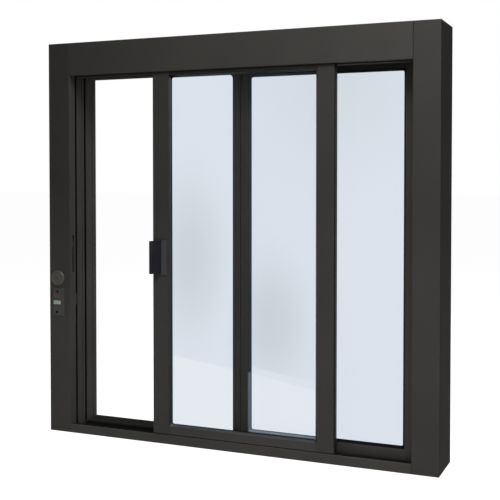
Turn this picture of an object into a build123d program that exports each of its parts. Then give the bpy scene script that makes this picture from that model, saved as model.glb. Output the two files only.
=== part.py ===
from build123d import *
from math import atan2, degrees
import os

# Sliding service window for a counter, in millimetres.
# The origin is on the sill's underside, at mid width and mid frame depth.
# +X is to the right seen from the front, +Y points to the rear, +Z is up.

# Frame
frame_width = 915.0
frame_height = 903.0
frame_depth = 114.0
frame_wall = 3.0
jamb_face = 56.0
head_face = 75.5
head_edge = 1.2
butt_gap = 0.1
eased_edge = 2.0
outer_edge = 0.8
kerf_width = 2.5
kerf_depth = 1.5
centre_kerf_place = 51.0
rear_kerf_place = 95.5

# Layers of the frame, counted from its front face towards the rear
lip_wall = 3.5
panel_front_gap = 2.0
panel_thickness = 17.5
screen_groove = 8.0
centre_strip = 30.0
panel_groove = 9.0
groove_depth = 12.0

# Sill
sill_base = 3.0
sill_lip_height = 20.0
sill_rear_lip_height = 15.0
track_height = 8.0
rear_filler_height = 12.0
filler_skin = 2.5
guide_rib_width = 2.0
guide_rib_rise = 8.0
guide_clearance = 2.0
guide_slot_depth = 10.0
anchor_radius = 3.25
anchor_spacing = 600.0
anchor_depth = 39.0

# Glazed panels
panel_width = 423.3
panel_open = 215.7
panel_bottom_gap = 2.0
panel_head_entry = 19.5
panel_wall = 2.0
stile_face = 39.0
meeting_stile_face = 37.0
rail_face = 28.0
meeting_overlap = 37.0
meeting_line_place = 18.0
meeting_line_width = 3.0
meeting_line_depth = 4.0
fixed_right_face = 28.5
fixed_bottom_face = 18.5
fixed_top_face = 9.5
tongue_length = 10.0
tongue_setback = 4.5
tongue_clearance = 0.5

# Glass and its gaskets
glass_thickness = 6.0
gasket_thickness = 2.75
gasket_show = 4.5
gasket_lip = 0.8
gasket_recess = 0.5
gasket_corner = 4.5
gasket_lip_corner = 1.0
pocket_depth = 10.0
fixed_pocket_depth = 7.0
glass_edge_gap = 1.5

# Hangers, wheels and the track in the head
ledge_height = 37.5
ledge_thickness = 3.0
ledge_reach = 19.0
bead_radius = 2.5
wheel_radius = 12.0
wheel_width = 8.0
wheel_clearance = 0.1
axle_radius = 3.0
axle_clearance = 0.05
axle_end = 1.0
hanger_length = 70.0
hanger_inset = 12.0
hanger_plate = 3.0
hanger_front_gap = 3.0
hanger_rise = 8.0
wheel_pitch = 40.0

# Pull handle on the sliding panel's left stile
pull_height = 73.0
pull_bottom = 380.5
pull_inset = 19.5
pull_plate = 3.0
pull_reach = 33.0
pull_lean = 11.8
pull_corner = 3.0
pull_base_width = 11.0
pull_base_thickness = 3.0
pull_base_round = 1.2
pull_base_drop = 3.0
pull_base_rise = 1.0

# Lock in the left jamb
lock_height = 359.0
lock_inset = 22.5
collar_radius = 17.5
collar_front_radius = 16.6
collar_rise = 2.6
collar_round = 0.9
cylinder_radius = 14.7
cylinder_clearance = 0.3
cylinder_recess = 0.9
cylinder_length = 19.0
plug_radius = 6.35
plug_clearance = 0.05
plug_length = 8.0
plug_rise = 0.6
keyway_width = 1.6
keyway_height = 8.5
keyway_depth = 4.0
plate_left = 9.3
plate_width = 31.5
plate_height = 63.0
plate_drop = 24.0
plate_thickness = 1.2
plate_corner = 1.5
window_margin = 1.2
window_width = 20.3
window_lift = 25.6
window_height = 8.8
window_recess = 0.3
bolt_slot_width = 8.0
bolt_slot_lift = 14.0
bolt_slot_height = 85.0
bolt_forward = 1.0
case_side_gap = 2.0
case_drop = 97.0
case_height = 214.0
case_wall = 2.0
case_rear_gap = 0.5
hook_thickness = 6.0
hook_eye_radius = 8.0
hook_pin_radius = 3.5
hook_pin_clearance = 0.1
hook_setback = 16.0
hook_shank = 11.0
hook_nose = 5.0
hook_margin = 4.0
hook_end_gap = 1.0

# Places worked out from the driving dimensions
front = -frame_depth / 2
rear = frame_depth / 2
left = -frame_width / 2
right = frame_width / 2
bay_left = left + jamb_face
bay_right = right - jamb_face
head_under = frame_height - head_face

slide_front = front + lip_wall + panel_front_gap
slide_rear = slide_front + panel_thickness
groove1_front = slide_rear
groove1_rear = groove1_front + screen_groove
groove2_front = groove1_rear + centre_strip
groove2_rear = groove2_front + panel_groove
slide_middle = (slide_front + slide_rear) / 2
fixed_front = groove2_front
fixed_rear = fixed_front + panel_thickness
glazing_pocket = glass_thickness + 2 * gasket_thickness
glass_inset = (panel_thickness - glass_thickness) / 2

panel_left = bay_left + panel_open
panel_right = panel_left + panel_width
panel_bottom = track_height + panel_bottom_gap
panel_top = head_under + panel_head_entry

fixed_left = bay_left + panel_width - meeting_overlap
fixed_right = bay_right
fixed_bottom = rear_filler_height
fixed_top = head_under
tongue_front = groove2_front + tongue_setback
tongue_rear = groove2_rear - tongue_clearance

ledge_front = groove1_rear - ledge_reach
ledge_top = head_under + ledge_height
hanger_front = front + lip_wall + hanger_front_gap
wheel_y = ledge_front + bead_radius
wheel_z = ledge_top + wheel_radius + wheel_clearance

lock_x = left + lock_inset
plate_bottom = lock_height - plate_drop - plate_height
case_bottom = lock_height - case_drop
bolt_y = slide_middle - bolt_forward
bolt_slot_bottom = lock_height + bolt_slot_lift
hook_x = bay_left - frame_wall - hook_setback
hook_z = bolt_slot_bottom + hook_margin + hook_eye_radius


def area(x0, x1, y0, y1):
    """A flat rectangle between two corners."""
    return Pos((x0 + x1) / 2, (y0 + y1) / 2) * Rectangle(x1 - x0, y1 - y0)


def block(x0, x1, y0, y1, z0, z1):
    """A box between two corners."""
    return extrude(Plane.XY.offset(z0) * area(x0, x1, y0, y1), z1 - z0)


def along_x(profile, x0, x1):
    """Extrudes a (depth, height) profile along the width."""
    return extrude(Plane.YZ.offset(x0) * profile, x1 - x0)


def along_z(profile, z0, z1):
    """Extrudes a (width, depth) profile upwards."""
    return extrude(Plane.XY.offset(z0) * profile, z1 - z0)


def from_front(profile, y0, y1):
    """Extrudes a (width, height) profile from depth y0 back to depth y1."""
    return extrude(Plane.XZ.offset(-y1) * profile, y1 - y0)


def eased(profile, radius, *corners):
    """Rounds the profile's corners that lie at the given points."""
    chosen = [v for v in profile.vertices() for c in corners if abs(v.X - c[0]) + abs(v.Y - c[1]) < 0.01]
    return fillet(chosen, radius)


def save(name, *solids):
    """Writes one node, made of one or more solids that don't touch."""
    shape = solids[0] if len(solids) == 1 else Compound(children=list(solids))
    export_step(shape, f"parts/{name}.step")


def jamb_profile(outer, inner):
    """Hollow jamb section with two grooves and two shallow kerfs in its inner face."""
    x0 = min(outer, inner)
    x1 = max(outer, inner)
    toward = 1 if inner < outer else -1
    floor = inner + toward * groove_depth
    section = area(x0, x1, front, rear)
    for y0, y1 in ((groove1_front, groove1_rear), (groove2_front, groove2_rear)):
        section -= area(min(inner, floor), max(inner, floor), y0, y1)
    kerf_floor = inner + toward * kerf_depth
    for place in (centre_kerf_place, rear_kerf_place):
        y0 = front + place
        section -= area(min(inner, kerf_floor), max(inner, kerf_floor), y0, y0 + kerf_width)
    hollow = offset(section, -frame_wall, kind=Kind.INTERSECTION)
    section = eased(section, eased_edge, (inner, front), (inner, rear))
    section = eased(section, outer_edge, (outer, front), (outer, rear))
    return section - hollow


def make_left_jamb():
    """Left jamb with the hole for the lock cylinder and the slot for the hook bolt."""
    jamb = along_z(jamb_profile(left, bay_left), 0, frame_height)
    hole = Pos(lock_x, lock_height) * Circle(cylinder_radius + cylinder_clearance)
    jamb -= from_front(hole, front, front + frame_wall)
    return jamb - bolt_slot(bay_left - frame_wall, bay_left)


def bolt_slot(x0, x1):
    """Cutter for the hook bolt's slot, between two places along the width."""
    half = bolt_slot_width / 2
    top = bolt_slot_bottom + bolt_slot_height
    return block(x0, x1, bolt_y - half, bolt_y + half, bolt_slot_bottom, top)


def make_head():
    """Head with an open pocket for the sliding panel, a track ledge and a hollow rear part."""
    section = area(front, rear, head_under, frame_height)
    section -= area(groove2_front, groove2_rear, head_under, head_under + groove_depth)
    rear_part = area(groove1_rear, rear, head_under, frame_height)
    rear_part -= area(groove2_front, groove2_rear, head_under, head_under + groove_depth)
    section -= offset(rear_part, -frame_wall, kind=Kind.INTERSECTION)
    section -= area(front + lip_wall, groove1_rear, head_under, frame_height - frame_wall)
    section = eased(section, head_edge, (front, head_under))
    section = eased(section, eased_edge, (rear, head_under))
    ledge = area(ledge_front, groove1_rear, ledge_top - ledge_thickness, ledge_top)
    bead = Pos(ledge_front + bead_radius, ledge_top) * Circle(bead_radius)
    bead &= area(ledge_front, groove1_rear, ledge_top - ledge_thickness, ledge_top + bead_radius)
    return along_x(section + ledge + bead, bay_left + butt_gap, bay_right - butt_gap)


def anchor_holes():
    """Cutters for the two anchor holes through the sill and its track strip."""
    hole = Cylinder(anchor_radius, 2 * track_height)
    return [Pos(side * anchor_spacing / 2, front + anchor_depth, 0) * hole for side in (-1, 1)]


def make_sill():
    """Sill with a front lip, a lower rear lip and an open channel between them."""
    section = area(front, rear, 0, sill_lip_height)
    section -= area(front + lip_wall, rear, sill_base, sill_lip_height)
    section += area(rear - frame_wall, rear, 0, sill_rear_lip_height)
    section = eased(section, outer_edge, (front, sill_lip_height), (rear, sill_rear_lip_height))
    sill = along_x(section, bay_left + butt_gap, bay_right - butt_gap)
    for hole in anchor_holes():
        sill -= hole
    return sill


def filler_profile(y0, y1, height):
    """An upturned channel that stands on the sill's base."""
    section = area(y0, y1, sill_base, height)
    return section - area(y0 + filler_skin, y1 - filler_skin, sill_base, height - filler_skin)


def make_sill_track():
    """Track strip in the sill's front part, with the rib that guides the sliding panel."""
    section = filler_profile(front + lip_wall, groove2_front, track_height)
    rib_front = slide_middle - guide_rib_width / 2
    rib_foot = track_height - filler_skin
    rib_top = track_height + guide_rib_rise
    section += area(rib_front, rib_front + guide_rib_width, rib_foot, rib_top)
    track = along_x(section, bay_left + butt_gap, bay_right - butt_gap)
    for hole in anchor_holes():
        track -= hole
    return track


def make_rear_filler():
    """Filler strip in the sill's rear part, on which the fixed panel stands."""
    section = filler_profile(groove2_rear, rear - frame_wall, rear_filler_height)
    return along_x(section, bay_left + butt_gap, bay_right - butt_gap)


def stile_profile(outer, inner, y0, depth):
    """Hollow stile section with a glazing pocket in its inner edge."""
    toward = 1 if inner > outer else -1
    y1 = y0 + panel_thickness
    wall = (panel_thickness - glazing_pocket) / 2
    pocket = inner - toward * depth
    section = area(min(outer, inner), max(outer, inner), y0, y1)
    section = eased(section, outer_edge, (outer, y0), (outer, y1), (inner, y0), (inner, y1))
    section -= area(min(pocket, inner), max(pocket, inner), y0 + wall, y1 - wall)
    ends = sorted((outer + toward * panel_wall, pocket - toward * panel_wall))
    return section - area(ends[0], ends[1], y0 + panel_wall, y1 - panel_wall)


def rail_profile(outer, inner, y0, depth):
    """Rail section with a glazing pocket in its inner edge."""
    toward = 1 if inner > outer else -1
    y1 = y0 + panel_thickness
    wall = (panel_thickness - glazing_pocket) / 2
    pocket = inner - toward * depth
    section = area(y0, y1, min(outer, inner), max(outer, inner))
    section = eased(section, outer_edge, (y0, inner), (y1, inner))
    return section - area(y0 + wall, y1 - wall, min(pocket, inner), max(pocket, inner))


def rail_chamber(y0, ends):
    """Hollow chamber of a rail, between two heights."""
    return area(y0 + panel_wall, y0 + panel_thickness - panel_wall, min(ends), max(ends))


def guide_slot():
    """Cutter for the slot that runs over the sill's guide rib."""
    half = guide_rib_width / 2 + guide_clearance
    y0 = slide_middle - half
    y1 = slide_middle + half
    return block(panel_left, panel_right, y0, y1, panel_bottom, panel_bottom + guide_slot_depth)


def make_sliding_frame():
    """The sliding panel's two stiles and two rails."""
    left_inner = panel_left + stile_face
    right_inner = panel_right - meeting_stile_face
    slot = guide_slot()
    left_section = stile_profile(panel_left, left_inner, slide_front, pocket_depth)
    left_stile = along_z(left_section, panel_bottom, panel_top) - slot
    left_stile -= bolt_slot(panel_left, panel_left + panel_wall)
    right_section = stile_profile(panel_right, right_inner, slide_front, pocket_depth)
    right_stile = along_z(right_section, panel_bottom, panel_top) - slot
    top_inner = panel_top - rail_face
    top = rail_profile(panel_top, top_inner, slide_front, pocket_depth)
    top -= rail_chamber(slide_front, (top_inner + pocket_depth + panel_wall, panel_top - panel_wall))
    bottom_inner = panel_bottom + rail_face
    bottom = rail_profile(panel_bottom, bottom_inner, slide_front, pocket_depth)
    chamber_bottom = panel_bottom + guide_slot_depth + panel_wall
    bottom -= rail_chamber(slide_front, (chamber_bottom, bottom_inner - pocket_depth - panel_wall))
    top_rail = along_x(top, left_inner, right_inner)
    bottom_rail = along_x(bottom, left_inner, right_inner) - slot
    return left_stile, right_stile, top_rail, bottom_rail


def rounded_area(x0, x1, z0, z1, radius):
    """A flat rectangle with rounded corners."""
    flat = area(x0, x1, z0, z1)
    return fillet(flat.vertices(), radius)


def make_gasket(x0, x1, z0, z1, face, glass_face, cover):
    """Gasket ring: a strip in the glazing pocket and a bead that slopes down to the glass."""
    toward = 1 if glass_face > face else -1
    bead_face = face + toward * gasket_recess
    strip_face = glass_face - toward * gasket_thickness
    ring = area(x0 - cover, x1 + cover, z0 - cover, z1 + cover) - area(x0, x1, z0, z1)
    strip = from_front(ring, min(strip_face, glass_face), max(strip_face, glass_face))
    bead = block(x0, x1, min(bead_face, glass_face), max(bead_face, glass_face), z0, z1)
    s = gasket_show
    p = gasket_lip
    at_glass = Plane.XZ.offset(-glass_face) * rounded_area(x0 + s, x1 - s, z0 + s, z1 - s, gasket_corner)
    at_lip = Plane.XZ.offset(-bead_face) * rounded_area(x0 + p, x1 - p, z0 + p, z1 - p, gasket_lip_corner)
    return strip + (bead - loft([at_glass, at_lip]))


def make_glazing(x0, x1, z0, z1, y0, depth):
    """Glass and the two gaskets of a panel whose inner edges are given."""
    cover = depth - glass_edge_gap
    glass_y0 = y0 + glass_inset
    glass_y1 = glass_y0 + glass_thickness
    glass = block(x0 - cover, x1 + cover, glass_y0, glass_y1, z0 - cover, z1 + cover)
    front_gasket = make_gasket(x0, x1, z0, z1, y0, glass_y0, cover)
    rear_gasket = make_gasket(x0, x1, z0, z1, y0 + panel_thickness, glass_y1, cover)
    return glass, front_gasket, rear_gasket


def make_fixed_frame():
    """The fixed panel's two stiles and two rails, with tongues in the frame's panel groove."""
    left_inner = fixed_left + meeting_stile_face
    right_inner = fixed_right - fixed_right_face
    bottom_inner = fixed_bottom + fixed_bottom_face
    top_inner = fixed_top - fixed_top_face
    left_section = stile_profile(fixed_left, left_inner, fixed_front, fixed_pocket_depth)
    line_x = fixed_left + meeting_line_place
    line_end = line_x + meeting_line_width
    line_floor = fixed_front + meeting_line_depth
    left_section += area(line_x - panel_wall, line_end + panel_wall, fixed_front, line_floor + panel_wall)
    left_section -= area(line_x, line_end, fixed_front, line_floor)
    left_stile = along_z(left_section, fixed_bottom, fixed_top)
    right_section = stile_profile(fixed_right, right_inner, fixed_front, fixed_pocket_depth)
    right_section += area(fixed_right, fixed_right + tongue_length, tongue_front, tongue_rear)
    right_stile = along_z(right_section, fixed_bottom, fixed_top)
    bottom = rail_profile(fixed_bottom, bottom_inner, fixed_front, fixed_pocket_depth)
    chamber_top = bottom_inner - fixed_pocket_depth - panel_wall
    bottom -= rail_chamber(fixed_front, (fixed_bottom + panel_wall, chamber_top))
    bottom += area(tongue_front, tongue_rear, sill_base + tongue_clearance, fixed_bottom)
    top = rail_profile(fixed_top, top_inner, fixed_front, fixed_pocket_depth)
    top += area(tongue_front, tongue_rear, fixed_top, fixed_top + tongue_length)
    bottom_rail = along_x(bottom, left_inner, right_inner)
    top_rail = along_x(top, left_inner, right_inner)
    return left_stile, right_stile, top_rail, bottom_rail


def make_pull():
    """Pull handle: a fin that stands on the stile's face and leans out over the stile."""
    x0 = panel_left + pull_inset
    half = pull_plate / 2
    root = Vector(x0 + half, slide_front - half)
    tip = Vector(x0 - pull_lean + half, slide_front - pull_reach + half)
    middle = (root + tip) / 2
    turn = degrees(atan2(tip.Y - root.Y, tip.X - root.X))
    section = Pos(middle.X, middle.Y) * Rot(0, 0, turn) * SlotCenterToCenter((tip - root).length, pull_plate)
    section += area(x0, x0 + pull_plate, slide_front - half, slide_front)
    pull_top = pull_bottom + pull_height
    pull = along_z(section, pull_bottom, pull_top)
    tip_y = slide_front - pull_reach
    side = area(tip_y, slide_front, pull_bottom, pull_top)
    side = eased(side, pull_corner, (tip_y, pull_bottom), (tip_y, pull_top))
    return pull & along_x(side, x0 - pull_lean, x0 + pull_plate)


def make_pull_base():
    """Flat base strip beside the fin's foot, with its right edge rounded."""
    x0 = panel_left + pull_inset + pull_plate
    x1 = x0 + pull_base_width
    y0 = slide_front - pull_base_thickness
    section = eased(area(x0, x1, y0, slide_front), pull_base_round, (x1, y0))
    return along_z(section, pull_bottom - pull_base_drop, pull_bottom + pull_height + pull_base_rise)


def hanger_places():
    """Middles of the two hangers along the width."""
    reach = panel_width / 2 - hanger_inset - hanger_length / 2
    middle = (panel_left + panel_right) / 2
    return middle - reach, middle + reach


def make_hanger(x):
    """Hanger bracket with its two axles, standing on the sliding panel's top rail."""
    x0 = x - hanger_length / 2
    x1 = x + hanger_length / 2
    upright = block(x0, x1, hanger_front, hanger_front + hanger_plate, panel_top, wheel_z + hanger_rise)
    foot = block(x0, x1, hanger_front, slide_rear, panel_top, panel_top + hanger_plate)
    hanger = upright + foot
    axle = Circle(axle_radius)
    axle_back = wheel_y + wheel_width / 2 + axle_end
    for side in (-1, 1):
        place = Pos(x + side * wheel_pitch / 2, wheel_z)
        hanger += from_front(place * axle, hanger_front, axle_back)
    return hanger


def make_wheel(x):
    """Grooved wheel that runs on the bead of the head's track ledge."""
    bore = axle_radius + axle_clearance
    half = wheel_width / 2
    section = area(bore, wheel_radius, -half, half)
    section -= Pos(wheel_radius, 0) * Circle(bead_radius + wheel_clearance)
    return Pos(x, wheel_y, wheel_z) * revolve(section, Axis.Y)


def make_wheels():
    """Four wheels, two on each hanger."""
    places = [x + side * wheel_pitch / 2 for x in hanger_places() for side in (-1, 1)]
    return [make_wheel(x) for x in places]


def make_collar():
    """Low collar round the lock cylinder."""
    bore = cylinder_radius + cylinder_clearance
    outline = Polyline(
        (bore, 0), (collar_radius, 0), (collar_front_radius, -collar_rise), (bore, -collar_rise), close=True)
    section = eased(make_face(outline), collar_round, (collar_front_radius, -collar_rise))
    return Pos(lock_x, front, lock_height) * revolve(section, Axis.Y)


def make_cylinder():
    """Lock cylinder with a bore for its plug."""
    face = front - collar_rise + cylinder_recess
    place = Pos(lock_x, lock_height)
    body = from_front(place * Circle(cylinder_radius), face, face + cylinder_length)
    return body - from_front(place * Circle(plug_radius + plug_clearance), face, face + plug_length)


def make_plug():
    """Key plug with its keyway."""
    face = front - collar_rise + cylinder_recess
    place = Pos(lock_x, lock_height)
    plug = from_front(place * Circle(plug_radius), face - plug_rise, face + plug_length)
    keyway = place * Rectangle(keyway_width, keyway_height)
    return plug - from_front(keyway, face - plug_rise, face + keyway_depth)


def make_plate():
    """Indicator plate with an opening for its window."""
    x0 = left + plate_left
    outline = area(x0, x0 + plate_width, plate_bottom, plate_bottom + plate_height)
    outline = fillet(outline.vertices(), plate_corner)
    return from_front(outline - window_area(), front - plate_thickness, front)


def window_area():
    """Outline of the indicator window."""
    x0 = left + plate_left + window_margin
    z0 = plate_bottom + window_lift
    return area(x0, x0 + window_width, z0, z0 + window_height)


def make_window():
    """Plain indicator window in the plate's opening."""
    return from_front(window_area(), front - plate_thickness + window_recess, front)


def make_case():
    """Lock case: a tray against the jamb's front wall, with the hook bolt's pin."""
    x0 = left + frame_wall + case_side_gap
    x1 = bay_left - frame_wall
    y0 = front + frame_wall
    y1 = groove1_front - frame_wall - case_rear_gap
    z1 = case_bottom + case_height
    case = block(x0, x1, y0, y1, case_bottom, z1)
    w = case_wall
    case -= block(x0 + w, x1 - w, y0 + w, y1, case_bottom + w, z1 - w)
    hole = Pos(lock_x, lock_height) * Circle(cylinder_radius + cylinder_clearance)
    case -= from_front(hole, y0, y0 + w)
    case -= bolt_slot(x1 - w, x1)
    pin = Pos(hook_x, hook_z) * Circle(hook_pin_radius)
    return case + from_front(pin, y0 + w, bolt_y + hook_thickness / 2)


def make_hook():
    """Hook bolt, drawn back into the lock case."""
    top = bolt_slot_bottom + bolt_slot_height - hook_margin
    nose_x = bay_left - frame_wall - case_wall - hook_end_gap
    outline = Pos(hook_x, hook_z) * Circle(hook_eye_radius)
    outline += area(hook_x - hook_shank / 2, hook_x + hook_shank / 2, hook_z, top)
    outline += area(hook_x, nose_x, top - hook_shank, top)
    outline += area(nose_x - hook_nose, nose_x, top - 2 * hook_shank, top)
    outline -= Pos(hook_x, hook_z) * Circle(hook_pin_radius + hook_pin_clearance)
    return from_front(outline, bolt_y - hook_thickness / 2, bolt_y + hook_thickness / 2)


os.makedirs("parts", exist_ok=True)

save("left_jamb", make_left_jamb())
save("right_jamb", along_z(jamb_profile(right, bay_right), 0, frame_height))
save("head", make_head())
save("sill", make_sill())
save("sill_guide_track", make_sill_track())
save("sill_rear_filler", make_rear_filler())

for name, piece in zip(("left_stile", "right_stile", "top_rail", "bottom_rail"), make_sliding_frame()):
    save(f"sliding_{name}", piece)
sliding_glazing = make_glazing(
    panel_left + stile_face, panel_right - meeting_stile_face, panel_bottom + rail_face,
    panel_top - rail_face, slide_front, pocket_depth)
for name, piece in zip(("glass", "front_gasket", "rear_gasket"), sliding_glazing):
    save(f"sliding_{name}", piece)
save("pull_handle", make_pull())
save("pull_base", make_pull_base())
for name, x in zip(("left", "right"), hanger_places()):
    save(f"{name}_hanger", make_hanger(x))
save("hanger_wheels", *make_wheels())

for name, piece in zip(("left_stile", "right_stile", "top_rail", "bottom_rail"), make_fixed_frame()):
    save(f"fixed_{name}", piece)
fixed_glazing = make_glazing(
    fixed_left + meeting_stile_face, fixed_right - fixed_right_face, fixed_bottom + fixed_bottom_face,
    fixed_top - fixed_top_face, fixed_front, fixed_pocket_depth)
for name, piece in zip(("glass", "front_gasket", "rear_gasket"), fixed_glazing):
    save(f"fixed_{name}", piece)

save("lock_collar", make_collar())
save("lock_cylinder", make_cylinder())
save("lock_plug", make_plug())
save("lock_indicator_plate", make_plate())
save("lock_indicator_window", make_window())
save("lock_case", make_case())
save("hook_bolt", make_hook())
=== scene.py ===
import math
import bmesh
import bpy
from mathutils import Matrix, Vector, noise as field


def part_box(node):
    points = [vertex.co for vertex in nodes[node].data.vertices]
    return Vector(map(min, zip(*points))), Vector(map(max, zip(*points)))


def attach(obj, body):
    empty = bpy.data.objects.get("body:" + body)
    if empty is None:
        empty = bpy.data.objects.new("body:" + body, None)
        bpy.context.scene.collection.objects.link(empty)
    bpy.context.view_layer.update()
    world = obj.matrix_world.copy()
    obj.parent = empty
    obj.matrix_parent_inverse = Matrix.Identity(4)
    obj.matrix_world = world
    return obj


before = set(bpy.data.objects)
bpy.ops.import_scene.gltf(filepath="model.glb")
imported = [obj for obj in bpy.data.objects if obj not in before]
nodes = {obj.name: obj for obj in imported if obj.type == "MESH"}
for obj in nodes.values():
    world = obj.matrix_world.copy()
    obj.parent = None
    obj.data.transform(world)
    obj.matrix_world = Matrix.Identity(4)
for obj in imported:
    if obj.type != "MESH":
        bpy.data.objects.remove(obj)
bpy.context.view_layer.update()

# Camera, fitted to the window's corners in the photograph (metres and pixels)
IMAGE_SIZE = 500
FOCAL_PIXELS = 947.0
PRINCIPAL_X = 249.8
PRINCIPAL_Y = 203.3
SENSOR = 36.0
CAMERA_PLACE = Vector((0.8388, -1.9117, 0.5937))
CAMERA_FORWARD = Vector((-0.3906, 0.9202, -0.0274))

# Plain colours of the stage
WHITE = (1.0, 1.0, 1.0, 1.0)
BLACK = (0.0, 0.0, 0.0, 1.0)

# Floor and surround
FLOOR_HALF = 30.0
FLOOR_COLOUR = (0.12, 0.12, 0.12, 1.0)
FLOOR_ROUGHNESS = 0.9
FLOOR_GLOW = 0.98
SURROUND = 1.0

# Soft lights: place, aim, size and power
LIGHTS = {
    "key": ((0.55, -0.8, 1.8), (0.85, 0.0, 0.4), (0.6, 0.6), 37.0),
    "fill": ((0.35, -1.6, 1.2), (0.0, 0.0, 0.45), (1.0, 1.0), 8.5),
    "high_right": ((1.4, -0.7, 1.8), (0.0, 0.0, 0.45), (0.8, 0.8), 18.0),
    "right_low": ((1.2, 0.0, 0.03), (0.46, 0.0, 0.05), (0.5, 0.3), 10.0),
    "bounce": ((0.0, -0.62, 0.04), (0.0, 0.0, 0.10), (1.1, 0.25), 3.5),
    "low_left": ((-0.60, -0.5, 0.08), (-0.43, -0.05, 0.15), (0.4, 0.2), 1.2),
    "low_right": ((0.55, -0.8, 0.10), (0.40, 0.0, 0.25), (0.4, 0.3), 3.3),
    "under": ((0.0, 0.5, 0.01), (0.0, 0.0, 0.83), (1.5, 0.8), 12.0),
    "top_rear": ((0.0, 0.25, 2.2), (0.0, 0.0, 0.0), (1.2, 0.5), 45.0),
    "left": ((-1.8, 0.2, 0.5), (-0.45, 0.0, 0.45), (1.5, 1.5), 34.0),
    "back": ((0.2, 1.8, 0.9), (0.0, 0.0, 0.45), (1.6, 1.6), 28.0),
}
LIGHTS_IN_GLOSS = ("key", "high_right")

# White table behind the window, seen only through the glass, a painted reflection of a table in the panes:
# its corners, colour and height
TABLE_CORNERS = ((-1.2, 1.155), (-0.325, 0.74), (0.015, 0.555), (0.24, -0.04), (-1.2, 0.06))
TABLE_COLOUR = (1.09, 1.08, 1.03, 1.0)
TABLE_LEVEL = 0.001

# Pale band beyond the table's far edge, a little lower than the table, a painted reflection of that edge in
# the second pane
BAND_CORNERS = ((-0.335, 0.825), (-0.04, 0.665), (-0.005, 0.565), (-0.285, 0.71))
BAND_COLOUR = (1.02, 1.015, 0.985, 1.0)
BAND_LEVEL = 0.0005

# Pale wall behind the window, seen only through the glass: its place, its darker colour and its soft darker
# shapes, painted reflections in the panes, each with its centre, size and strength
WALL_Y = 1.2
WALL_X = (-4.0, 4.0)
WALL_Z = (-3.0, 4.0)
WALL_SHADE = (0.84, 0.855, 0.815, 1.0)
WALL_SHAPES = (
    ((-0.72, 0.30), (0.22, 0.45), 1.0),
    ((-0.40, 0.08), (0.22, 0.35), 1.0),
    ((-0.12, 0.95), (0.50, 0.50), 0.5),
)

# Glass: its index, its cast, the share of the cast where it is deepest, and the size of its haze
GLASS_INDEX = 1.2
GLASS_TINT = (0.725, 0.777, 0.857, 1.0)
GLASS_DEEPEST = 0.985
GLASS_HAZE = 1.6

# Behind the sliding panel, left of this span along X, the fixed pane is clear and its gaskets are grey:
# painted reflection on the gaskets
FADE_SPAN = (0.185, 0.213)
GLASS_CLEAR = (0.985, 0.985, 0.99, 1.0)
GASKET_REFLECTED_GREY = (0.0180, 0.0190, 0.0200, 1.0)

# The grey of the fixed front gasket is pale below one span along Z, painted reflection of the white table,
# and the sliding gaskets are black above another, painted shade under the head
TABLE_REFLECTION_PALE = (0.105, 0.118, 0.128, 1.0)
TABLE_REFLECTION_SPAN = (0.161, 0.165)
TOP_PAINTED_SHADE = (0.0012, 0.0012, 0.0014, 1.0)
TOP_SHADE_SPAN = (0.811, 0.814)

# Surface of the anodised metal: size of its clouds, die lines by direction, roughness, sheen, and strength
# and depth of the relief
CLOUD_SCALE = 9.0
DIE_LINES = {"x": (3.0, 900.0, 900.0), "z": (900.0, 900.0, 3.0), "none": (300.0, 300.0, 300.0)}
ANODISED_ROUGHNESS = (0.42, 0.50)
ANODISED_GLOSS = 0.1
ANODISED_RELIEF = (0.05, 0.0003)

# Surface of the rubber and the pile: size of the grain, roughness and relief
RUBBER_GRAIN = 700.0
RUBBER_ROUGHNESS = (0.35, 0.45)
RUBBER_RELIEF = (0.1, 0.0002)
PILE_GRAIN = 2500.0
PILE_ROUGHNESS = (0.9, 1.0)
PILE_RELIEF = (0.4, 0.0004)

# Surface of the plated metal and the plastic: size of the mottle, and how far the roughness leaves its mean
METAL_MOTTLE = 60.0
METAL_SPREAD = 0.06
PLASTIC_MOTTLE = 400.0
PLASTIC_SPREAD = 0.05

# Sockets of a mix node that mixes two colours
MIX_FACTOR = 0
MIX_LOW = 6
MIX_HIGH = 7
MIX_RESULT = 2

# Grooves of the left jamb and the sill, counted along Y, and the pile strips that stand in them
GROOVE_1 = (-0.034, -0.026)
GROOVE_2 = (0.004, 0.013)
GROOVE_DEPTH = 0.012
SILL_FLOOR = 0.003
PILE_RECESS = 0.0003
PILE_STEP = 0.0015
SILL_PILE_HEIGHT = 0.0050
# The lip pile is a brush seal that also stands in for the shade line at the sliding panel's foot: partly
# painted shade
LIP_PILE = (-0.0534, -0.0516)
LIP_PILE_TOP = 0.0212

# Outline of a pile strip in shares of its width and height: one side of its backing, and its crown
PILE_BACKING = ((-0.5, 0.0), (-0.5, 0.2), (-0.46, 0.24))
PILE_CROWN = ((-0.44, 0.96), (-0.15, 1.0), (0.15, 1.0), (0.44, 0.96))

# How uneven a pile strip is: shares of its height and width, and waves per metre
RUFFLE = 0.03
RUFFLE_WAVES = 600.0
LEAN = 0.02
LEAN_WAVES = 350.0

# Closing strip at the foot of the fixed panel, behind the guide track
FOOT_FRONT = 0.0042
FOOT_DEPTH = 0.006
FOOT_LIP = 0.0006

# Keeper clip in the jamb's front groove
CLIP_BOTTOM = 0.2955
CLIP_TOP = 0.3212
CLIP_DEPTH = 0.004
CLIP_EDGE = 0.0006

# Flat seal on the sliding panel's right stile: its front and back, its rise, its taper, and the share of the
# rise at its ends
EDGE_SEAL = (-0.0512, -0.0350)
EDGE_SEAL_RISE = 0.0020
EDGE_SEAL_TAPER = 0.002
EDGE_SEAL_TIP = 0.1

# Wedge seal against the meeting stile
SEAL_LEFT = -0.0225
SEAL_END = 0.004
SEAL_DROP = 0.0135
SEAL_EDGE = 0.0006

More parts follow.
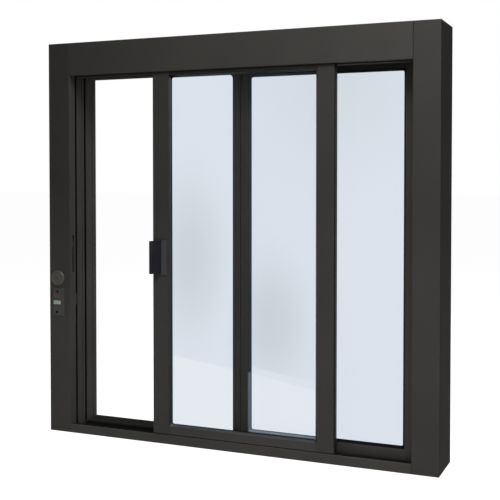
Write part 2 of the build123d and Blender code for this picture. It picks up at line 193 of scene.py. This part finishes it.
# Screws of the indicator plate: their places, and rings from the rim to the bottom of the socket, each with
# its share of the radius, its share of the rise, and whether it is six-sided
SCREW_PLACES = ((-0.4359, 0.3275), (-0.4370, 0.2795))
SCREW_RADIUS = 0.0034
SCREW_RISE = 0.0009
SOCKET_RADIUS = 0.0014
SCREW_STEPS = 48
SCREW_RINGS = (
    (1.0, 0.0, False),
    (0.97, 0.35, False),
    (0.82, 0.75, False),
    (0.60, 1.0, False),
    (1.0, 1.0, True),
    (0.97, 0.25, True),
)

# Faint field on the indicator plate
FIELD_LEFT = -0.4470
FIELD_RIGHT = -0.4290
FIELD_BOTTOM = 0.3138
FIELD_TOP = 0.3222
FIELD_THICKNESS = 0.00015

# Shares of red, green and blue in the bronze
BRONZE_CAST = (1.04, 1.0, 0.92)


def bronze(value):
    """A slightly warm dark grey in linear light."""
    return tuple(value * share for share in BRONZE_CAST) + (1.0,)


def grey(value):
    """A neutral grey in linear light."""
    return (value, value, value, 1.0)


# The darker and the lighter shade of each material, in linear light
SHADES = {
    "bronze_across": (bronze(0.022), bronze(0.026)),
    "bronze_upright": (bronze(0.0195), bronze(0.0225)),
    # Top rails: a darker copy of the bronze, painted shade from the head above them
    "painted_shade_top_bronze": (bronze(0.014), bronze(0.017)),
    # Fixed right stile: a lighter, warmer copy of the bronze, painted light on it
    "painted_light_side_bronze": ((0.0222, 0.0198, 0.0180, 1.0), (0.0248, 0.0222, 0.0202, 1.0)),
    # Meeting stile behind the sliding glass: a darker copy of the bronze as painted shade, warmed against the
    # glass's blue cast
    "painted_shade_meeting_bronze": ((0.0150, 0.0124, 0.0090, 1.0), (0.0166, 0.0138, 0.0100, 1.0)),
    "bronze_foot": (bronze(0.022), bronze(0.026)),
    "bronze_clip": (bronze(0.021), bronze(0.025)),
    "plate_bronze": (bronze(0.029), bronze(0.034)),
    # Guide track: near black, painted shade of the deep channel behind the sill's front lip
    "painted_shade_track": (bronze(0.0028), bronze(0.0040)),
    "black_anodised": ((0.0060, 0.0062, 0.0082, 1.0), (0.0078, 0.0080, 0.0100, 1.0)),
    "grey_anodised": ((0.027, 0.028, 0.032, 1.0), (0.032, 0.033, 0.037, 1.0)),
    # Lock collar: plated metal, lightened further as a partly painted highlight on its bevel
    "collar_bronze": (bronze(0.090), bronze(0.110)),
    "lock_bronze": (bronze(0.070), bronze(0.090)),
    "zinc_steel": (grey(0.45), grey(0.6)),
    "screw_black": (grey(0.011), grey(0.016)),
    # Sliding gaskets: dark bluish-grey rubber, lightened to stand in for the light on their sloped beads,
    # partly painted light
    "glazing_rubber": ((0.0085, 0.0087, 0.0100, 1.0), (0.0120, 0.0124, 0.0140, 1.0)),
    "black_rubber": ((0.0016, 0.0016, 0.0018, 1.0), (0.0026, 0.0026, 0.0028, 1.0)),
    "black_rubber_rear": ((0.0016, 0.0016, 0.0018, 1.0), (0.0026, 0.0026, 0.0028, 1.0)),
    "seal_rubber": ((0.003, 0.003, 0.004, 1.0), (0.005, 0.005, 0.006, 1.0)),
    "edge_rubber": (grey(0.0055), grey(0.0075)),
    "black_pile": ((0.0006, 0.0006, 0.0007, 1.0), (0.0022, 0.0022, 0.0024, 1.0)),
    "filler_vinyl": (bronze(0.0065), bronze(0.0085)),
    "natural_nylon": ((0.55, 0.53, 0.48, 1.0), (0.62, 0.60, 0.55, 1.0)),
    "indicator_green": ((0.115, 0.175, 0.125, 1.0), (0.14, 0.205, 0.15, 1.0)),
    "faded_red": ((0.031, 0.024, 0.022, 1.0), (0.037, 0.028, 0.026, 1.0)),
}


def new_material(name):
    """An empty node material with a Principled shader, and its tree and shader."""
    material = bpy.data.materials.new(name)
    material.use_nodes = True
    tree = material.node_tree
    shader = tree.nodes["Principled BSDF"]
    return material, tree, shader


def object_coordinates(tree, scale=(1.0, 1.0, 1.0)):
    """Object coordinates, in metres, stretched by the given scale."""
    source = tree.nodes.new("ShaderNodeTexCoord")
    mapping = tree.nodes.new("ShaderNodeMapping")
    mapping.inputs["Scale"].default_value = scale
    tree.links.new(source.outputs["Object"], mapping.inputs["Vector"])
    return mapping.outputs["Vector"]


def noise(tree, coordinates, scale, detail):
    """A noise texture on the given coordinates."""
    texture = tree.nodes.new("ShaderNodeTexNoise")
    texture.inputs["Scale"].default_value = scale
    texture.inputs["Detail"].default_value = detail
    tree.links.new(coordinates, texture.inputs["Vector"])
    return texture.outputs["Fac"]


def ramp(tree, factor, low, high, start=0.3, end=0.7):
    """A colour ramp between two colours."""
    node = tree.nodes.new("ShaderNodeValToRGB")
    node.color_ramp.elements[0].position = start
    node.color_ramp.elements[0].color = low
    node.color_ramp.elements[1].position = end
    node.color_ramp.elements[1].color = high
    tree.links.new(factor, node.inputs["Fac"])
    return node.outputs["Color"]


def mottle(tree, name, factor):
    """The named material's two shades, mixed by a factor."""
    dark, light = SHADES[name]
    return ramp(tree, factor, dark, light)


def roughen(tree, shader, factor, low, high):
    """Lets a 0 to 1 factor vary the shader's roughness between two values."""
    node = tree.nodes.new("ShaderNodeMapRange")
    node.inputs["To Min"].default_value = low
    node.inputs["To Max"].default_value = high
    tree.links.new(factor, node.inputs["Value"])
    tree.links.new(node.outputs["Result"], shader.inputs["Roughness"])


def bump(tree, shader, height, relief):
    """Feeds a height into the shader's normal, with the relief's strength and depth."""
    strength, depth = relief
    node = tree.nodes.new("ShaderNodeBump")
    node.inputs["Strength"].default_value = strength
    node.inputs["Distance"].default_value = depth
    tree.links.new(height, node.inputs["Height"])
    tree.links.new(node.outputs["Normal"], shader.inputs["Normal"])


def blend_along(tree, axis, span, low, high):
    """A colour that changes along an axis, over the span, between two colours or colour outputs."""
    place = tree.nodes.new("ShaderNodeSeparateXYZ")
    tree.links.new(object_coordinates(tree), place.inputs["Vector"])
    fade = tree.nodes.new("ShaderNodeMapRange")
    fade.interpolation_type = "SMOOTHSTEP"
    fade.inputs["From Min"].default_value = span[0]
    fade.inputs["From Max"].default_value = span[1]
    tree.links.new(place.outputs[axis], fade.inputs["Value"])
    mix = tree.nodes.new("ShaderNodeMix")
    mix.data_type = "RGBA"
    tree.links.new(fade.outputs["Result"], mix.inputs[MIX_FACTOR])
    for socket, colour in ((mix.inputs[MIX_LOW], low), (mix.inputs[MIX_HIGH], high)):
        if isinstance(colour, tuple):
            socket.default_value = colour
        else:
            tree.links.new(colour, socket)
    return mix.outputs[MIX_RESULT]


def painted_shade_on_top(tree, colour):
    """The sliding gaskets' colour, with painted shade making it black along their top."""
    return blend_along(tree, "Z", TOP_SHADE_SPAN, colour, TOP_PAINTED_SHADE)


def grey_reflection_left(tree, colour):
    """The fixed rear gasket's colour, with a painted reflection making it grey behind the sliding panel."""
    return blend_along(tree, "X", FADE_SPAN, GASKET_REFLECTED_GREY, colour)


def pale_reflection_left(tree, colour):
    """The fixed front gasket's colour, grey behind the sliding panel and paler low down: painted reflections.
    """
    left = blend_along(tree, "Z", TABLE_REFLECTION_SPAN, TABLE_REFLECTION_PALE, GASKET_REFLECTED_GREY)
    return blend_along(tree, "X", FADE_SPAN, left, colour)


def anodised(name, along):
    """Dark anodised aluminium with faint die lines along the extrusion."""
    material, tree, shader = new_material(name)
    cloud = noise(tree, object_coordinates(tree), CLOUD_SCALE, detail=4.0)
    lines = noise(tree, object_coordinates(tree, DIE_LINES[along]), scale=1.0, detail=2.0)
    tree.links.new(mottle(tree, name, cloud), shader.inputs["Base Color"])
    roughen(tree, shader, lines, *ANODISED_ROUGHNESS)
    shader.inputs["Specular IOR Level"].default_value = ANODISED_GLOSS
    bump(tree, shader, lines, ANODISED_RELIEF)
    return material


def rubber(name, gloss, shade=None):
    """Glazing rubber with a fine pitted surface and more or less sheen, whose colour may change along it
    where shade and reflections are painted on.
    """
    material, tree, shader = new_material(name)
    grain = noise(tree, object_coordinates(tree), RUBBER_GRAIN, detail=2.0)
    colour = mottle(tree, name, grain)
    if shade:
        colour = shade(tree, colour)
    tree.links.new(colour, shader.inputs["Base Color"])
    roughen(tree, shader, grain, *RUBBER_ROUGHNESS)
    shader.inputs["Specular IOR Level"].default_value = gloss
    bump(tree, shader, grain, RUBBER_RELIEF)
    return material


def pile(name):
    """Matt black pile with fine fibres."""
    material, tree, shader = new_material(name)
    fibres = noise(tree, object_coordinates(tree), PILE_GRAIN, detail=2.0)
    tree.links.new(mottle(tree, name, fibres), shader.inputs["Base Color"])
    roughen(tree, shader, fibres, *PILE_ROUGHNESS)
    shader.inputs["Specular IOR Level"].default_value = 0.0
    bump(tree, shader, fibres, PILE_RELIEF)
    return material


def clear_glass(name, fades):
    """Clear toughened glass with a faint blue cast, which may fade out towards the left."""
    material, tree, shader = new_material(name)
    haze = noise(tree, object_coordinates(tree), GLASS_HAZE, detail=2.0)
    deepest = tuple(c * GLASS_DEEPEST for c in GLASS_TINT[:3]) + (1.0,)
    cast = ramp(tree, haze, deepest, GLASS_TINT)
    if fades:
        cast = blend_along(tree, "X", FADE_SPAN, GLASS_CLEAR, cast)
    tree.links.new(cast, shader.inputs["Base Color"])
    shader.inputs["Transmission Weight"].default_value = 1.0
    shader.inputs["IOR"].default_value = GLASS_INDEX
    shader.inputs["Roughness"].default_value = 0.0
    return material


def plain_metal(name, roughness, metallic=1.0):
    """Plated metal with cloudy variation."""
    material, tree, shader = new_material(name)
    cloud = noise(tree, object_coordinates(tree), METAL_MOTTLE, detail=4.0)
    tree.links.new(mottle(tree, name, cloud), shader.inputs["Base Color"])
    roughen(tree, shader, cloud, roughness - METAL_SPREAD, roughness + METAL_SPREAD)
    shader.inputs["Metallic"].default_value = metallic
    return material


def plastic(name, roughness, gloss=0.5):
    """Moulded plastic with a faint mottle."""
    material, tree, shader = new_material(name)
    grain = noise(tree, object_coordinates(tree), PLASTIC_MOTTLE, detail=3.0)
    tree.links.new(mottle(tree, name, grain), shader.inputs["Base Color"])
    roughen(tree, shader, grain, roughness - PLASTIC_SPREAD, roughness + PLASTIC_SPREAD)
    shader.inputs["Specular IOR Level"].default_value = gloss
    return material


def dress():
    """Gives every CAD node its finish, and lets light pass through the glass."""
    finishes = {
        anodised("bronze_across", "x"): ("head", "sill", "sliding_bottom_rail", "fixed_bottom_rail"),
        anodised("bronze_upright", "z"): (
            "left_jamb", "right_jamb", "sliding_left_stile", "sliding_right_stile"),
        # Top rails: darker copy of the bronze, painted shade from the head above them
        anodised("painted_shade_top_bronze", "x"): ("sliding_top_rail", "fixed_top_rail"),
        # Fixed right stile: lighter, warmer copy of the bronze, painted light
        anodised("painted_light_side_bronze", "z"): ("fixed_right_stile",),
        # Meeting stile: darker, warmer copy of the bronze, painted shade seen through the sliding glass
        anodised("painted_shade_meeting_bronze", "z"): ("fixed_left_stile",),
        # Guide track: near black, painted shade of the channel behind the sill's lip
        anodised("painted_shade_track", "x"): ("sill_guide_track",),
        anodised("black_anodised", "z"): ("pull_handle",),
        anodised("grey_anodised", "z"): ("pull_base",),
        anodised("plate_bronze", "none"): ("lock_indicator_plate",),
        # Lock collar: lighter metal, partly painted highlight on its bevel
        plain_metal("collar_bronze", roughness=0.31, metallic=0.5): ("lock_collar",),
        plain_metal("lock_bronze", roughness=0.30, metallic=0.5): ("lock_cylinder", "lock_plug"),
        plain_metal("zinc_steel", roughness=0.35): ("left_hanger", "right_hanger", "lock_case", "hook_bolt"),
        # Sliding gaskets: black along their top run as painted shade under the head, and shades partly
        # painted light
        rubber("glazing_rubber", gloss=0.8, shade=painted_shade_on_top): (
            "sliding_front_gasket", "sliding_rear_gasket"),
        # Fixed gaskets: grey behind the sliding panel and pale low down, painted reflections
        rubber("black_rubber", gloss=0.03, shade=pale_reflection_left): ("fixed_front_gasket",),
        rubber("black_rubber_rear", gloss=0.03, shade=grey_reflection_left): ("fixed_rear_gasket",),
        plastic("filler_vinyl", roughness=0.6, gloss=0.1): ("sill_rear_filler",),
        plastic("natural_nylon", roughness=0.45): ("hanger_wheels",),
        plastic("indicator_green", roughness=0.35): ("lock_indicator_window",),
        clear_glass("clear_glass", fades=False): ("sliding_glass",),
        clear_glass("clear_glass_fixed", fades=True): ("fixed_glass",),
    }
    for material, names in finishes.items():
        for name in names:
            mesh = nodes[name].data
            mesh.materials.clear()
            mesh.materials.append(material)
    for name in ("sliding_glass", "fixed_glass"):
        nodes[name].visible_shadow = False


def add_piece(name, vertices, faces, material):
    """A closed mesh piece of the window that rides on its body, with its faces turned outwards."""
    mesh = bpy.data.meshes.new(name)
    mesh.from_pydata(vertices, [], faces)
    solid = bmesh.new()
    solid.from_mesh(mesh)
    bmesh.ops.recalc_face_normals(solid, faces=solid.faces)
    solid.to_mesh(mesh)
    solid.free()
    mesh.materials.append(material)
    piece = bpy.data.objects.new(name, mesh)
    bpy.context.scene.collection.objects.link(piece)
    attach(piece, "root")


def sweep(rings):
    """Vertices and faces of a solid through closed rings of equal size, with its ends closed."""
    count = len(rings[0])
    vertices = [point for ring in rings for point in ring]
    faces = []
    for i in range(len(rings) - 1):
        for j in range(count):
            k = (j + 1) % count
            faces.append((i * count + j, i * count + k, (i + 1) * count + k, (i + 1) * count + j))
    last = (len(rings) - 1) * count
    faces.append(tuple(reversed(range(count))))
    faces.append(tuple(last + j for j in range(count)))
    return vertices, faces


def pile_strip(name, start, along, up, length, width, height, material):
    """Brush weatherstrip: a flat backing with a dense pile whose top is slightly uneven."""
    start = Vector(start)
    along = Vector(along)
    up = Vector(up)
    across = up.cross(along)
    backing = [(a * width, b * height) for a, b in PILE_BACKING]
    far_backing = [(-a, b) for a, b in reversed(backing)]
    steps = round(length / PILE_STEP)
    rings = []
    for i in range(steps + 1):
        place = start + along * (length * i / steps)
        top = height * (1.0 - RUFFLE + RUFFLE * field.noise(place * RUFFLE_WAVES))
        lean = LEAN * width * field.noise(place * LEAN_WAVES)
        crown = [(a * width + lean, b * top) for a, b in PILE_CROWN]
        outline = backing + crown + far_backing
        rings.append([place + across * a + up * b for a, b in outline])
    vertices, faces = sweep(rings)
    add_piece(name, vertices, faces, material)


def make_pile_strips(material):
    """Pile strips in the left jamb's two grooves, in the sill's open rear groove and behind its front lip,
    where the strip is also painted shade.
    """
    jamb_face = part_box("left_jamb")[1].x
    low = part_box("sill_guide_track")[1].z
    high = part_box("head")[0].z
    for number, groove in ((1, GROOVE_1), (2, GROOVE_2)):
        start = (jamb_face - GROOVE_DEPTH, sum(groove) / 2, low)
        pile_strip(f"jamb_pile_{number}", start, (0, 0, 1), (1, 0, 0), high - low,
                   groove[1] - groove[0], GROOVE_DEPTH - PILE_RECESS, material)
    start = (jamb_face, sum(GROOVE_2) / 2, SILL_FLOOR)
    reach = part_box("fixed_left_stile")[0].x - jamb_face
    pile_strip("sill_pile", start, (1, 0, 0), (0, 0, 1), reach, GROOVE_2[1] - GROOVE_2[0],
               SILL_PILE_HEIGHT, material)
    start = (jamb_face, sum(LIP_PILE) / 2, low)
    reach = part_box("right_jamb")[0].x - jamb_face
    pile_strip("lip_pile", start, (1, 0, 0), (0, 0, 1), reach, LIP_PILE[1] - LIP_PILE[0],
               LIP_PILE_TOP - low, material)


def make_foot(material):
    """Closing strip at the foot of the fixed panel's bottom rail, with a small lip along each front edge."""
    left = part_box("fixed_left_stile")[0].x
    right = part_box("right_jamb")[0].x
    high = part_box("sill_guide_track")[1].z
    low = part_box("fixed_bottom_rail")[0].z
    front = FOOT_FRONT
    behind_lip = front + FOOT_LIP
    back = front + FOOT_DEPTH
    side = [(front, high + FOOT_LIP), (behind_lip, high), (back, high), (back, low), (behind_lip, low),
            (front, low - FOOT_LIP)]
    rings = [[(x, y, z) for y, z in side] for x in (left, right)]
    vertices, faces = sweep(rings)
    add_piece("fixed_foot_strip", vertices, faces, material)


def make_clip(material):
    """Small keeper clip with eased edges, set flush in the jamb's front groove."""
    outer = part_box("left_jamb")[1].x
    inner = outer - GROOVE_DEPTH
    y0 = GROOVE_1[0]
    y1 = y0 + CLIP_DEPTH
    e = CLIP_EDGE
    rings = []
    for z, shrink in ((CLIP_BOTTOM, e), (CLIP_BOTTOM + e, 0.0), (CLIP_TOP - e, 0.0), (CLIP_TOP, e)):
        x1 = outer - shrink
        rings.append([(inner, y0, z), (x1 - e, y0, z), (x1, y0 + e, z), (x1, y1 - e, z), (x1 - e, y1, z),
                      (inner, y1, z)])
    vertices, faces = sweep(rings)
    add_piece("keeper_clip", vertices, faces, material)


def make_seal(material):
    """Wedge seal with eased edges under the head, against the left side of the meeting stile."""
    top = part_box("head")[0].z
    low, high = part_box("fixed_left_stile")
    e = SEAL_EDGE
    rings = []
    for y, shrink in ((low.y, e), (low.y + e, 0.0), (high.y - e, 0.0), (high.y, e)):
        left = SEAL_LEFT + shrink
        end = top - SEAL_END + shrink
        drop = top - SEAL_DROP + shrink
        rings.append([(left, y, top), (left, y, end), (low.x, y, drop), (low.x, y, top)])
    vertices, faces = sweep(rings)
    add_piece("meeting_seal", vertices, faces, material)


def make_edge_seal(material):
    """Flat seal with tapered ends on the right side of the sliding panel's right stile."""
    stile_low, stile_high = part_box("sliding_right_stile")
    bottom = stile_low.z
    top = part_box("head")[0].z
    y0, y1 = EDGE_SEAL
    x0 = stile_high.x
    levels = ((bottom, EDGE_SEAL_TIP), (bottom + EDGE_SEAL_TAPER, 1.0), (top - EDGE_SEAL_TAPER, 1.0),
              (top, EDGE_SEAL_TIP))
    rings = []
    for z, rise in levels:
        x1 = x0 + rise * EDGE_SEAL_RISE
        rings.append([(x0, y0, z), (x1, y0 + EDGE_SEAL_RISE, z), (x1, y1 - EDGE_SEAL_RISE, z), (x0, y1, z)])
    vertices, faces = sweep(rings)
    add_piece("edge_seal", vertices, faces, material)


def make_screws(material):
    """Low button-head screws with a six-sided socket, on the indicator plate."""
    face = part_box("lock_indicator_plate")[0].y
    for number, (x, z) in enumerate(SCREW_PLACES, 1):
        rings = []
        for radius, rise, six_sided in SCREW_RINGS:
            y = face - rise * SCREW_RISE
            ring = []
            for i in range(SCREW_STEPS):
                turn = 2 * math.pi * i / SCREW_STEPS
                flat = math.cos(math.pi / 6) / math.cos(turn % (math.pi / 3) - math.pi / 6)
                reach = radius * (SOCKET_RADIUS * flat if six_sided else SCREW_RADIUS)
                ring.append((x + reach * math.cos(turn), y, z + reach * math.sin(turn)))
            rings.append(ring)
        vertices, faces = sweep(rings)
        add_piece(f"plate_screw_{number}", vertices, faces, material)


def make_field(material):
    """Faint plain field on the indicator plate, over its window."""
    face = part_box("lock_indicator_plate")[0].y
    rings = []
    for y, shrink in ((face, 0.0), (face - FIELD_THICKNESS, FIELD_THICKNESS)):
        x0, x1 = FIELD_LEFT + shrink, FIELD_RIGHT - shrink
        z0, z1 = FIELD_BOTTOM + shrink, FIELD_TOP - shrink
        rings.append([(x0, y, z0), (x1, y, z0), (x1, y, z1), (x0, y, z1)])
    vertices, faces = sweep(rings)
    add_piece("indicator_field", vertices, faces, material)


def make_details():
    """The small pieces that the CAD model leaves to the scene."""
    make_pile_strips(pile("black_pile"))
    make_foot(anodised("bronze_foot", "x"))
    make_clip(anodised("bronze_clip", "z"))
    make_seal(rubber("seal_rubber", gloss=0.1))
    make_edge_seal(rubber("edge_rubber", gloss=0.05))
    make_screws(plain_metal("screw_black", roughness=0.45, metallic=0.7))
    make_field(plastic("faded_red", roughness=0.7))


def flat_object(name, corners, material):
    """A flat piece with one face through the given corners."""
    mesh = bpy.data.meshes.new(name)
    mesh.from_pydata(corners, [], [tuple(range(len(corners)))])
    mesh.materials.append(material)
    flat = bpy.data.objects.new(name, mesh)
    bpy.context.scene.collection.objects.link(flat)
    return flat


def make_floor():
    """White floor at the sill's underside, with only a faint shadow on it."""
    material, _, shader = new_material("pale_floor")
    shader.inputs["Base Color"].default_value = FLOOR_COLOUR
    shader.inputs["Roughness"].default_value = FLOOR_ROUGHNESS
    shader.inputs["Specular IOR Level"].default_value = 0.0
    shader.inputs["Emission Color"].default_value = WHITE
    shader.inputs["Emission Strength"].default_value = FLOOR_GLOW
    h = FLOOR_HALF
    floor = flat_object("floor", [(-h, -h, 0), (h, -h, 0), (h, h, 0), (-h, h, 0)], material)
    floor.visible_diffuse = False
    floor.visible_glossy = False
    floor.visible_transmission = False


def add_card(name, corners, material):
    """A flat stage card that is seen only through the glass."""
    card = flat_object(name, corners, material)
    card.visible_camera = False
    card.visible_diffuse = False
    card.visible_glossy = False
    card.visible_shadow = False


def glow_material(name, colour):
    """A surface that only gives light, and its tree and shader."""
    material, tree, shader = new_material(name)
    shader.inputs["Base Color"].default_value = BLACK
    shader.inputs["Specular IOR Level"].default_value = 0.0
    shader.inputs["Emission Color"].default_value = colour
    shader.inputs["Emission Strength"].default_value = 1.0
    return material, tree, shader


def soft_shape(tree, centre, size, strength):
    """A soft round shape on an upright card, at the given strength in its centre and 0 outside its size."""
    source = tree.nodes.new("ShaderNodeTexCoord")
    mapping = tree.nodes.new("ShaderNodeMapping")
    mapping.inputs["Location"].default_value = (-centre[0] / size[0], 0.0, -centre[1] / size[1])
    mapping.inputs["Scale"].default_value = (1.0 / size[0], 0.0, 1.0 / size[1])
    tree.links.new(source.outputs["Object"], mapping.inputs["Vector"])
    shape = tree.nodes.new("ShaderNodeTexGradient")
    shape.gradient_type = "SPHERICAL"
    tree.links.new(mapping.outputs["Vector"], shape.inputs["Vector"])
    soft = tree.nodes.new("ShaderNodeMapRange")
    soft.interpolation_type = "SMOOTHSTEP"
    soft.inputs["To Max"].default_value = strength
    tree.links.new(shape.outputs["Fac"], soft.inputs["Value"])
    return soft.outputs["Result"]


def make_cards():
    """The white table, the band beyond it and the pale wall that are seen through the glass, painted
    reflections in the panes.
    """
    table = glow_material("table_glow", TABLE_COLOUR)[0]
    add_card("table_card", [(x, y, TABLE_LEVEL) for x, y in TABLE_CORNERS], table)
    band = glow_material("band_glow", BAND_COLOUR)[0]
    add_card("band_card", [(x, y, BAND_LEVEL) for x, y in BAND_CORNERS], band)
    wall, tree, shader = glow_material("wall_glow", WHITE)
    shade = soft_shape(tree, *WALL_SHAPES[0])
    for shape in WALL_SHAPES[1:]:
        most = tree.nodes.new("ShaderNodeMath")
        most.operation = "MAXIMUM"
        tree.links.new(shade, most.inputs[0])
        tree.links.new(soft_shape(tree, *shape), most.inputs[1])
        shade = most.outputs["Value"]
    colour = ramp(tree, shade, WHITE, WALL_SHADE, start=0.0, end=1.0)
    tree.links.new(colour, shader.inputs["Emission Color"])
    x0, x1 = WALL_X
    z0, z1 = WALL_Z
    add_card("wall_card", [(x0, WALL_Y, z0), (x1, WALL_Y, z0), (x1, WALL_Y, z1), (x0, WALL_Y, z1)], wall)


def make_world():
    """Plain white surround that is seen, but gives no light to the window's surfaces."""
    world = bpy.data.worlds.new("studio")
    bpy.context.scene.world = world
    world.use_nodes = True
    background = world.node_tree.nodes["Background"]
    background.inputs["Color"].default_value = WHITE
    background.inputs["Strength"].default_value = SURROUND
    world.cycles_visibility.diffuse = False
    world.cycles_visibility.glossy = False


def make_light(name, place, aim, size, power):
    """A soft rectangular light that the camera doesn't see."""
    data = bpy.data.lights.new(name, "AREA")
    data.shape = "RECTANGLE"
    data.size = size[0]
    data.size_y = size[1]
    data.energy = power
    light = bpy.data.objects.new(name, data)
    light.location = place
    light.rotation_euler = (Vector(aim) - Vector(place)).to_track_quat("-Z", "Y").to_euler()
    light.visible_camera = False
    light.visible_glossy = name in LIGHTS_IN_GLOSS
    light.visible_transmission = False
    bpy.context.scene.collection.objects.link(light)


def make_camera():
    """Camera at the photograph's place, with its focal length and framing."""
    data = bpy.data.cameras.new("camera")
    data.sensor_width = SENSOR
    data.lens = FOCAL_PIXELS / IMAGE_SIZE * SENSOR
    data.shift_x = (IMAGE_SIZE / 2 - PRINCIPAL_X) / IMAGE_SIZE
    data.shift_y = (PRINCIPAL_Y - IMAGE_SIZE / 2) / IMAGE_SIZE
    camera = bpy.data.objects.new("camera", data)
    camera.location = CAMERA_PLACE
    camera.rotation_euler = CAMERA_FORWARD.to_track_quat("-Z", "Y").to_euler()
    bpy.context.scene.collection.objects.link(camera)
    bpy.context.scene.camera = camera


bpy.context.scene.view_settings.view_transform = "Standard"
dress()
make_details()
make_floor()
make_cards()
make_world()
for name, (place, aim, size, power) in LIGHTS.items():
    make_light(name, place, aim, size, power)
make_camera()
